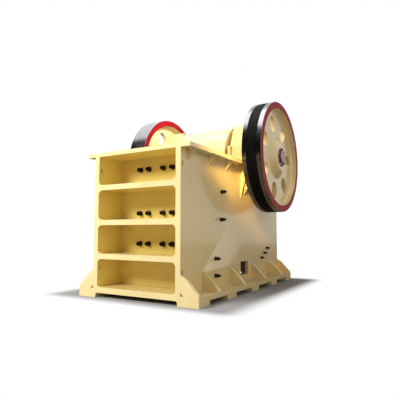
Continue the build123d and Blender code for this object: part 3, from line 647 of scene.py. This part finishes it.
def web_hole(number, side):
    """A cutter for one hole of a wheel's web, stretched along its radius."""
    bm = bmesh.new()
    angle = math.radians(hole_phase + number * 360 / hole_count)
    middle = Vector((0, math.cos(angle), math.sin(angle))) * hole_circle
    bmesh.ops.create_circle(bm, cap_ends=True, segments=hole_steps, radius=hole_radius)
    for vertex in bm.verts:
        vertex.co.x += math.copysign(hole_stretch / 2, vertex.co.x)
    outward = middle.normalized()
    turn = Matrix((outward, Vector((1, 0, 0)).cross(outward), (1, 0, 0))).transposed().to_4x4()
    start = Vector((side * (web_inner + web_outer) / 2 - hole_cut / 2, axis_y, axis_z)) + middle
    bmesh.ops.transform(bm, matrix=Matrix.Translation(start) @ turn, verts=bm.verts)
    base = list(bm.faces)
    through = bmesh.ops.extrude_face_region(bm, geom=base, use_keep_orig=True)
    moved = [item for item in through["geom"] if isinstance(item, bmesh.types.BMVert)]
    bmesh.ops.translate(bm, vec=(hole_cut, 0, 0), verts=moved)
    bmesh.ops.recalc_face_normals(bm, faces=bm.faces)
    return settled(bm)


def wheel(name, node, side, grooved):
    """A flywheel: turned rim, dished web with holes and a cone hub, in paint and bare steel."""
    section = [(side * x, axis_y, axis_z + radius) for x, radius in wheel_outline(grooved)]
    bm = spun(section, wheel_steps, (0, axis_y, axis_z), (1, 0, 0))
    castings = [(web_inner, hub_root, web_fillet, 4), (web_inner, rim_inner, web_fillet, 4)]
    castings += [(web_outer, hub_root, web_fillet, 4), (web_outer, rim_inner, web_fillet, 4)]
    castings += [(wheel_outer, hub_nose, hub_fillet, 4), (wheel_outer, wheel_radius, rim_round, 2)]
    castings += [(wheel_face, wheel_radius, rim_round, 2), (wheel_outer, rim_inner, rim_round, 2)]
    castings += [(wheel_face, rim_inner, rim_round, 2), (wheel_face, hub_back, hub_fillet, 3)]
    for x, radius, width, segments in castings:
        circle = [
            e for e in bm.edges
            if all(abs(v.co.x - side * x) + abs(from_axis(v.co) - radius) < 0.0005 for v in e.verts)
        ]
        rounded(bm, circle, width, segments)
    bm = combined([settled(bm)] + [web_hole(number, side) for number in range(hole_count)], "DIFFERENCE")
    groove_end = groove_start + groove_count * groove_pitch
    for face in bm.faces:
        middle = face.calc_center_median()
        x, radius = abs(middle.x), from_axis(middle)
        if radius > wheel_radius - groove_depth - 0.001 and abs(face.normal.x) < 0.99:
            in_grooves = grooved and groove_start + groove_crest / 4 < x < groove_end - groove_crest / 4
            face.material_index = 3 if in_grooves else 2
        elif radius > rim_inner + rim_round / 2 and abs(face.normal.x) > 0.5:
            face.material_index = 1
        else:
            face.material_index = 0
    join_flat(bm)
    hole_edges = [
        e for e in sharp_edges(bm, 60)
        if all(web_inner - 0.001 < abs(v.co.x) < web_outer + 0.001 for v in e.verts)
        and all(hub_root + web_fillet < from_axis(v.co) < rim_inner - web_fillet for v in e.verts)
    ]
    rounded(bm, hole_edges, hole_round, 2)
    # The belt wheel's rim takes the darker steel, a painted dark reflection
    rim = rim_painted_dark_steel if grooved else turned_steel
    return finished(bm, name, "rotor", [cream_paint, ring_paint, rim, groove_steel], [node])


wheel("belt_wheel", "drive_pulley", 1, True)
wheel("smooth_wheel", "flywheel", -1, False)


def bolt(across, height, thread_radius, thread_length, washer_radius, washer_height, nuts=1):
    """A washer, one or more hexagon nuts and a threaded end, standing up along Z from the origin."""
    bm = bmesh.new()
    bmesh.ops.create_cone(bm, cap_ends=True, segments=32, radius1=washer_radius, radius2=washer_radius,
                          depth=washer_height, matrix=Matrix.Translation((0, 0, washer_height / 2)))
    level = washer_height
    for number in range(nuts):
        part = bmesh.new()
        turn = Matrix.Rotation(number * math.radians(nut_turn), 4, "Z")
        bmesh.ops.create_cone(part, cap_ends=True, segments=6, radius1=across / math.sqrt(3),
                              radius2=across / math.sqrt(3), depth=height,
                              matrix=Matrix.Translation((0, 0, level + height / 2)) @ turn)
        rims = [e for e in part.edges if abs(e.verts[0].co.z - e.verts[1].co.z) < height / 2]
        rounded(part, rims, height * nut_round_share, 2)
        joined = bpy.data.meshes.new("nut")
        part.to_mesh(joined)
        part.free()
        bm.from_mesh(joined)
        level += height
    turns = max(2, round(thread_length / thread_pitch))
    pitch = thread_length / turns
    thread = [Vector((0, 0, level)), Vector((thread_radius, 0, level))]
    for number in range(turns):
        thread.append(Vector((thread_radius * thread_root_share, 0, level + (number + 0.35) * pitch)))
        thread.append(Vector((thread_radius, 0, level + (number + 0.8) * pitch)))
    thread.append(Vector((thread_radius * thread_end_share, 0, level + thread_length)))
    thread.append(Vector((0, 0, level + thread_length)))
    ring = [bm.verts.new(point) for point in thread]
    line = [bm.edges.new(pair) for pair in zip(ring, ring[1:])]
    bmesh.ops.spin(bm, geom=ring + line, cent=(0, 0, 0), axis=(0, 0, 1), angle=2 * math.pi, steps=20,
                   use_merge=True)
    bmesh.ops.remove_doubles(bm, verts=bm.verts, dist=0.00001)
    bmesh.ops.recalc_face_normals(bm, faces=bm.faces)
    mesh = bpy.data.meshes.new("bolt")
    bm.to_mesh(mesh)
    bm.free()
    return mesh


def bolted(name, template, places, directions, material=None, body="frame"):
    """Copies of a bolt at each place, standing along one direction or its own, each turned by chance."""
    bm = bmesh.new()
    if not isinstance(directions, list):
        directions = [directions] * len(places)
    for place, direction in zip(places, directions):
        lean = Vector((0, 0, 1)).rotation_difference(Vector(direction)).to_matrix().to_4x4()
        fresh = len(bm.verts)
        bm.from_mesh(template)
        bm.verts.ensure_lookup_table()
        turn = Matrix.Rotation(chance.uniform(0, math.pi / 3), 4, "Z")
        bmesh.ops.transform(bm, matrix=Matrix.Translation(place) @ lean @ turn, verts=bm.verts[fresh:])
    return finished(bm, name, body, [material or black_bolts], smooth_angle=25)


def circle_angles(count, first=0.0):
    """The angles of things spaced evenly round a circle."""
    return [math.radians((number + first) * 360 / count) for number in range(count)]


def on_circle(x, radius, angles):
    """Places round the shaft's axis."""
    return [(x, axis_y + radius * math.cos(a), axis_z + radius * math.sin(a)) for a in angles]


chance = random.Random(41)
jaw_bolt = bolt(across=0.066, height=0.034, thread_radius=0.021, thread_length=0.016,
                washer_radius=0.044, washer_height=0.008, nuts=2)
cheek_bolt = bolt(across=0.055, height=0.031, thread_radius=0.018, thread_length=0.034,
                  washer_radius=0.034, washer_height=0.007, nuts=2)
rail_bolt = bolt(across=0.046, height=0.022, thread_radius=0.016, thread_length=0.026,
                 washer_radius=0.029, washer_height=0.005, nuts=2)
small_bolt = bolt(across=0.032, height=0.012, thread_radius=0.009, thread_length=0.004,
                  washer_radius=0.019, washer_height=0.003)
cap_bolt = bolt(across=0.065, height=0.034, thread_radius=0.021, thread_length=0.012,
                washer_radius=0.042, washer_height=0.006)
rod_nut = bolt(across=0.110, height=0.034, thread_radius=0.0375, thread_length=0.002,
               washer_radius=0.070, washer_height=0.004)
places = [(x, back_plate, z) for z in jaw_bolt_rows for x in jaw_bolt_columns]
bolted("jaw_bolts", jaw_bolt, places, (0, -1, 0))
for side_name, side in (("right", 1), ("left", -1)):
    out = (side, 0, 0)
    for kind, template, spots in (("cheek", cheek_bolt, cheek_bolt_places),
                                  ("rail", rail_bolt, rail_bolt_places)):
        places = [(side * outer_wall, front + y, z) for y, z in spots]
        bolted(f"{kind}_bolts_{side_name}", template, places, out)
    section = [(wheel_outer, tip_radius), (wheel_outer, ring_radius)]
    section += [(wheel_outer + ring_width, ring_radius), (wheel_outer + ring_width, tip_radius)]
    points = [(side * x, axis_y, axis_z + r) for x, r in section]
    bm = spun(points, ring_steps, (0, axis_y, axis_z), (1, 0, 0))
    rounded(bm, sharp_edges(bm, 60), ring_round, 2)
    finished(bm, f"lock_ring_{side_name}", "rotor", [brown_paint],
             [f"locking_ring_{side_name}"])
    places = on_circle(side * (wheel_outer + ring_width), ring_screw_circle, circle_angles(ring_screw_count))
    bolted(f"ring_screws_{side_name}", small_bolt, places, out, body="rotor")
    cover_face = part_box(f"bearing_cover_{side_name}")[int(side > 0)].x - side * cover_neck
    places = on_circle(cover_face, cover_screw_circle, circle_angles(cover_screw_count, 0.5))
    bolted(f"cover_screws_{side_name}", small_bolt, places, out)
    places = [(side * x, axis_y - housing_shoulder, z) for x, z in housing_bolt_places]
    bolted(f"housing_bolts_{side_name}", small_bolt, places, (0, -1, 0))
    places = [(side * x, axis_y + end * cap_bolt_reach, housing_top)
              for x in cap_bolt_columns for end in (-1, 1)]
    bolted(f"cap_bolts_{side_name}", cap_bolt, places, (0, 0, 1), cream_paint)

rod_end_y = rod_high.y - rod_radius * math.sin(rod_slope)
rod_end_z = rod_high.z - rod_radius * math.cos(rod_slope)
bolted("rod_nuts", rod_nut, [Vector((0, rod_end_y, rod_end_z)) - rod_nut_length * rod_line], rod_line)
outward = [Vector((0, math.cos(a), math.sin(a))) for a in map(math.radians, guard_bolt_angles)]
places = [Vector((x, axis_y, axis_z)) + guard_radius * way
          for x in (-guard_bolt_column, guard_bolt_column) for way in outward]
bolted("guard_bolts", small_bolt, places, outward * 2, cream_paint)

# Camera
camera = bpy.data.objects.new("camera", bpy.data.cameras.new("camera"))
bpy.context.collection.objects.link(camera)
camera.data.sensor_width = sensor_width
camera.data.lens = camera_focal_pixels * sensor_width / picture_pixels
camera.location = camera_place
camera.rotation_euler = (math.radians(90 + camera_rise), 0, math.radians(camera_azimuth))
bpy.context.scene.camera = camera

# Floor and light
bm = bmesh.new()
bmesh.ops.create_grid(bm, x_segments=1, y_segments=1, size=floor_half)
mesh = bpy.data.meshes.new("floor")
bm.to_mesh(mesh)
bm.free()
floor = bpy.data.objects.new("floor", mesh)
bpy.context.collection.objects.link(floor)
floor_paint = bpy.data.materials.new("floor_paint")
floor_paint.use_nodes = True
tree, principled, add = shader(floor_paint)
principled.inputs["Base Color"].default_value = (*floor_grey, 1)
principled.inputs["Roughness"].default_value = 0.6
principled.inputs["Specular IOR Level"].default_value = 0.1
glow = add("ShaderNodeEmission")
glow.inputs["Strength"].default_value = 1.0
length = add("ShaderNodeVectorMath", operation="LENGTH")
beyond = add("ShaderNodeTexCoord").outputs["Object"]
for operation, values in (("ABSOLUTE", None), ("SUBTRACT", (cad_high.x, cad_high.y, 0)),
                          ("MAXIMUM", (0, 0, 0)), ("DIVIDE", painted_shadow_reach)):
    step = add("ShaderNodeVectorMath", operation=operation)
    tree.links.new(beyond, step.inputs[0])
    if values:
        step.inputs[1].default_value = values
    beyond = step.outputs[0]
tree.links.new(beyond, length.inputs[0])
# Painted shadow: within the reach the camera sees the grey floor with its real shadow, which reads as a dark
# halo also where the floor is lit; beyond it the floor is plain white
far = ranged(tree, add, length.outputs["Value"], 0.0, 1.0, 0.0, 1.0)
far.node.interpolation_type = "SMOOTHSTEP"
path = add("ShaderNodeLightPath")
seen = summed(tree, add, path.outputs["Is Camera Ray"], path.outputs["Is Glossy Ray"])
share = multiplied(tree, add, far, seen)
blend = add("ShaderNodeMixShader")
tree.links.new(share, blend.inputs[0])
tree.links.new(principled.outputs[0], blend.inputs[1])
tree.links.new(glow.outputs[0], blend.inputs[2])
tree.links.new(blend.outputs[0], tree.nodes["Material Output"].inputs["Surface"])
mesh.materials.append(floor_paint)

world = bpy.data.worlds.new("studio")
bpy.context.scene.world = world
world.use_nodes = True
tree = world.node_tree
background = tree.nodes["Background"]
background.inputs["Color"].default_value = (*studio_white, 1)
background.inputs["Strength"].default_value = studio_strength
add = adder(tree)
white = add("ShaderNodeBackground")
white.inputs["Color"].default_value = (1, 1, 1, 1)
white.inputs["Strength"].default_value = 1.0
path = add("ShaderNodeLightPath")
plain_rays = [path.outputs[f"Is {kind} Ray"] for kind in ("Camera", "Transmission", "Glossy")]
blend = add("ShaderNodeMixShader")
tree.links.new(summed(tree, add, *plain_rays), blend.inputs[0])
tree.links.new(background.outputs[0], blend.inputs[1])
tree.links.new(white.outputs[0], blend.inputs[2])
tree.links.new(blend.outputs[0], tree.nodes["World Output"].inputs["Surface"])


def softbox(name, place, target, width, height, power, colour=(1, 1, 1), spread=180):
    """An area lamp aimed at a point, its light spread over an angle in degrees."""
    lamp = bpy.data.lights.new(name, "AREA")
    lamp.shape = "RECTANGLE"
    lamp.size = width
    lamp.size_y = height
    lamp.energy = power
    lamp.color = colour
    lamp.spread = math.radians(spread)
    box = bpy.data.objects.new(name, lamp)
    bpy.context.collection.objects.link(box)
    box.location = place
    box.rotation_euler = (Vector(target) - Vector(place)).to_track_quat("-Z", "Y").to_euler()
    return box


def only_on(lamp, name):
    """Keep a lamp's light to one piece."""
    lit = bpy.data.collections.new(lamp.name + "_lights")
    lit.objects.link(bpy.data.objects[name])
    lamp.light_linking.receiver_collection = lit


key = softbox("key", place=(-3.8, -9.0, 7.0), target=(0, -1.0, 1.2), width=4.0, height=4.0, power=1560)
key.visible_glossy = False
softbox("overhead", place=(0.5, -0.5, 9.0), target=(0, 0.3, 0), width=6.0, height=6.0, power=420)
softbox("right_fill", place=(9.0, -3.0, 4.0), target=(0, 0, 1.2), width=5.0, height=5.0, power=160,
        colour=(1, 0.85, 0.74))
over_shaft = softbox("over_shaft", place=(3.5, -2.5, 4.6), target=(-1.25, axis_y - 0.1, 3.25),
                     width=0.8, height=0.8, power=11, spread=24)
only_on(over_shaft, "smooth_wheel")
wheel_bounce = softbox("wheel_bounce", place=(1.7, -2.7, 3.0), target=(outer_wall, axis_y - 0.5, 2.05),
                       width=0.5, height=0.5, power=10, colour=(1, 0.68, 0.22), spread=30)
only_on(wheel_bounce, "welded_frame")
wheel_bounce.visible_glossy = False
wheel_bounce.visible_camera = False


def card(name, place, turn, width, height, colour):
    """A dark sheet that shows only in gloss, as the yard does in the rims of the wheels."""
    bm = bmesh.new()
    bmesh.ops.create_grid(bm, x_segments=1, y_segments=1, size=1)
    bmesh.ops.scale(bm, vec=(width / 2, height / 2, 1), verts=bm.verts)
    mesh = bpy.data.meshes.new(name)
    bm.to_mesh(mesh)
    bm.free()
    sheet = bpy.data.objects.new(name, mesh)
    bpy.context.collection.objects.link(sheet)
    sheet.location = place
    sheet.rotation_euler = turn
    sheet.visible_camera = False
    sheet.visible_diffuse = False
    sheet.visible_shadow = False
    sheet.visible_transmission = False
    mesh.materials.append(plain_material(name, colour, 1.0, 0.0))


card("yard_ground", place=(0, 0, 0.001), turn=(0, 0, 0), width=ground_size, height=ground_size,
     colour=ground_dark)
card("yard_front", place=(-2.6, -7.4, yard_height / 2), turn=(math.pi / 2, 0, math.radians(-30)),
     width=yard_width, height=yard_height, colour=yard_dark)

bpy.context.scene.view_settings.view_transform = "Standard"
